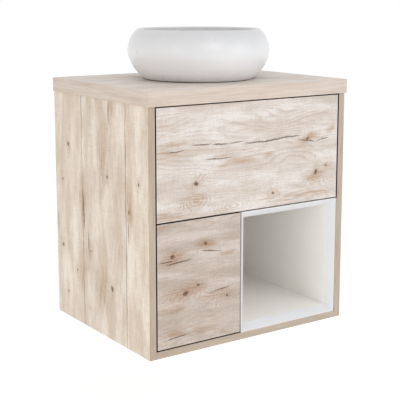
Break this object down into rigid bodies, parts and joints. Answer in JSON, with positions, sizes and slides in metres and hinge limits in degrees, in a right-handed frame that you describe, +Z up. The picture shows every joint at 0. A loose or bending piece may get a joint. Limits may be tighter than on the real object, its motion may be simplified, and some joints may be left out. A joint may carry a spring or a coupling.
{
  "type": "vessel sink on vanity",
  "caption": "Wall-hung oak vanity with a round white vessel bowl, wide upper drawer, deep lower drawer and an open white niche.",
  "frame": {"origin": "middle of the wall rail's back face, on the wall plane, at the height of the wall screws", "axes": "+Z up, +Y into the wall, +X to the right when facing the drawer fronts, which face -Y"},
  "size_m": [0.606, 0.48, 0.7691],
  "materials": {
    "oak_panel": "rustic whitewashed oak laminate, vertical grain",
    "oak_front": "rustic whitewashed oak laminate, horizontal grain",
    "oak_top": "pale oak laminate",
    "oak_edging": "plain beige edging",
    "white_board": "white melamine board",
    "white_niche": "satin white lacquered board",
    "drawer_board": "light grey melamine board",
    "bowl_ceramic": "matt white glaze",
    "waste_chrome": "polished chrome",
    "nut_brass": "turned brass",
    "seal_rubber": "black rubber",
    "zinc_steel": "galvanised steel",
    "runner_steel": "zinc-plated steel",
    "screw_steel": "zinc-plated steel",
    "latch_plastic": "grey moulded plastic",
    "clear_packers": "off-white moulded plastic"
  },
  "bodies": {
    "cabinet": {"side_left": "oak_panel", "side_right": "oak_panel", "bottom_panel": "oak_panel", "edge_bands": "oak_edging", "front_rail": "white_board", "mid_rail": "white_board", "lower_rail": "white_board", "hanging_rail": "white_board", "worktop": "oak_top", "wall_rail": "zinc_steel", "hook_rail": "zinc_steel", "niche_left": "white_niche", "niche_right": "white_niche", "niche_top": "white_niche", "niche_floor": "white_niche", "niche_back": "white_niche", "niche_packers": "clear_packers", "bowl": "bowl_ceramic", "bowl_gasket": "seal_rubber", "waste_flange_seal": "seal_rubber", "waste_body": "waste_chrome", "waste_lower_seal": "seal_rubber", "waste_nut": "nut_brass", "waste_cartridge": "nut_brass", "trap_inlet_nut": "waste_chrome", "trap_dip_tube": "waste_chrome", "trap_bottle": "waste_chrome", "trap_cup": "waste_chrome", "trap_outlet_nut": "waste_chrome", "trap_outlet_pipe": "waste_chrome", "trap_wall_rosette": "waste_chrome", "push_latch_sleeves": "latch_plastic", "upper_runner_cabinet_members": "runner_steel", "lower_runner_cabinet_members": "runner_steel", "cam_locks": "nut_brass", "cam_bolts": "screw_steel", "carcass_screws": "screw_steel"},
    "upper_drawer": {"upper_drawer_front": "oak_front", "upper_drawer_left": "drawer_board", "upper_drawer_right": "drawer_board", "upper_drawer_inner_front": "drawer_board", "upper_drawer_floor": "drawer_board", "upper_drawer_back": "drawer_board", "upper_notch_boards": "drawer_board", "upper_front_screws": "screw_steel", "upper_runner_drawer_members": "runner_steel"},
    "lower_drawer": {"lower_drawer_front": "oak_front", "lower_drawer_left": "drawer_board", "lower_drawer_right": "drawer_board", "lower_drawer_inner_front": "drawer_board", "lower_drawer_floor": "drawer_board", "lower_drawer_back": "drawer_board", "lower_front_screws": "screw_steel", "lower_runner_drawer_members": "runner_steel"},
    "upper_runner_middles": {"upper_runner_middle_members": "runner_steel"},
    "lower_runner_middles": {"lower_runner_middle_members": "runner_steel"},
    "waste_plug_body": {"waste_plug": "waste_chrome"},
    "upper_plunger": {"upper_push_plunger": "latch_plastic"},
    "lower_plunger": {"lower_push_plunger": "latch_plastic"}
  },
  "joints": [
    {"name": "upper_drawer_slide", "type": "slide", "parent": "cabinet", "child": "upper_drawer", "axis": [0, -1, 0], "range_m": [-0.002, 0.35]},
    {"name": "upper_runner_slide", "type": "slide", "parent": "cabinet", "child": "upper_runner_middles", "axis": [0, -1, 0], "range_m": [-0.001, 0.175]},
    {"name": "lower_drawer_slide", "type": "slide", "parent": "cabinet", "child": "lower_drawer", "axis": [0, -1, 0], "range_m": [-0.002, 0.35]},
    {"name": "lower_runner_slide", "type": "slide", "parent": "cabinet", "child": "lower_runner_middles", "axis": [0, -1, 0], "range_m": [-0.001, 0.175]},
    {"name": "waste_plug_lift", "type": "slide", "parent": "cabinet", "child": "waste_plug_body", "axis": [0, 0, 1], "range_m": [0, 0.008]},
    {"name": "upper_plunger_slide", "type": "slide", "parent": "cabinet", "child": "upper_plunger", "axis": [0, -1, 0], "range_m": [-0.00008, 0.014]},
    {"name": "lower_plunger_slide", "type": "slide", "parent": "cabinet", "child": "lower_plunger", "axis": [0, -1, 0], "range_m": [-0.00008, 0.014]}
  ],
  "couplings": [
    {"joint": "upper_runner_slide", "follows": "upper_drawer_slide", "ratio": 0.5},
    {"joint": "lower_runner_slide", "follows": "lower_drawer_slide", "ratio": 0.5},
    {"joint": "upper_plunger_slide", "follows": "upper_drawer_slide", "ratio": 0.04},
    {"joint": "lower_plunger_slide", "follows": "lower_drawer_slide", "ratio": 0.04}
  ]
}
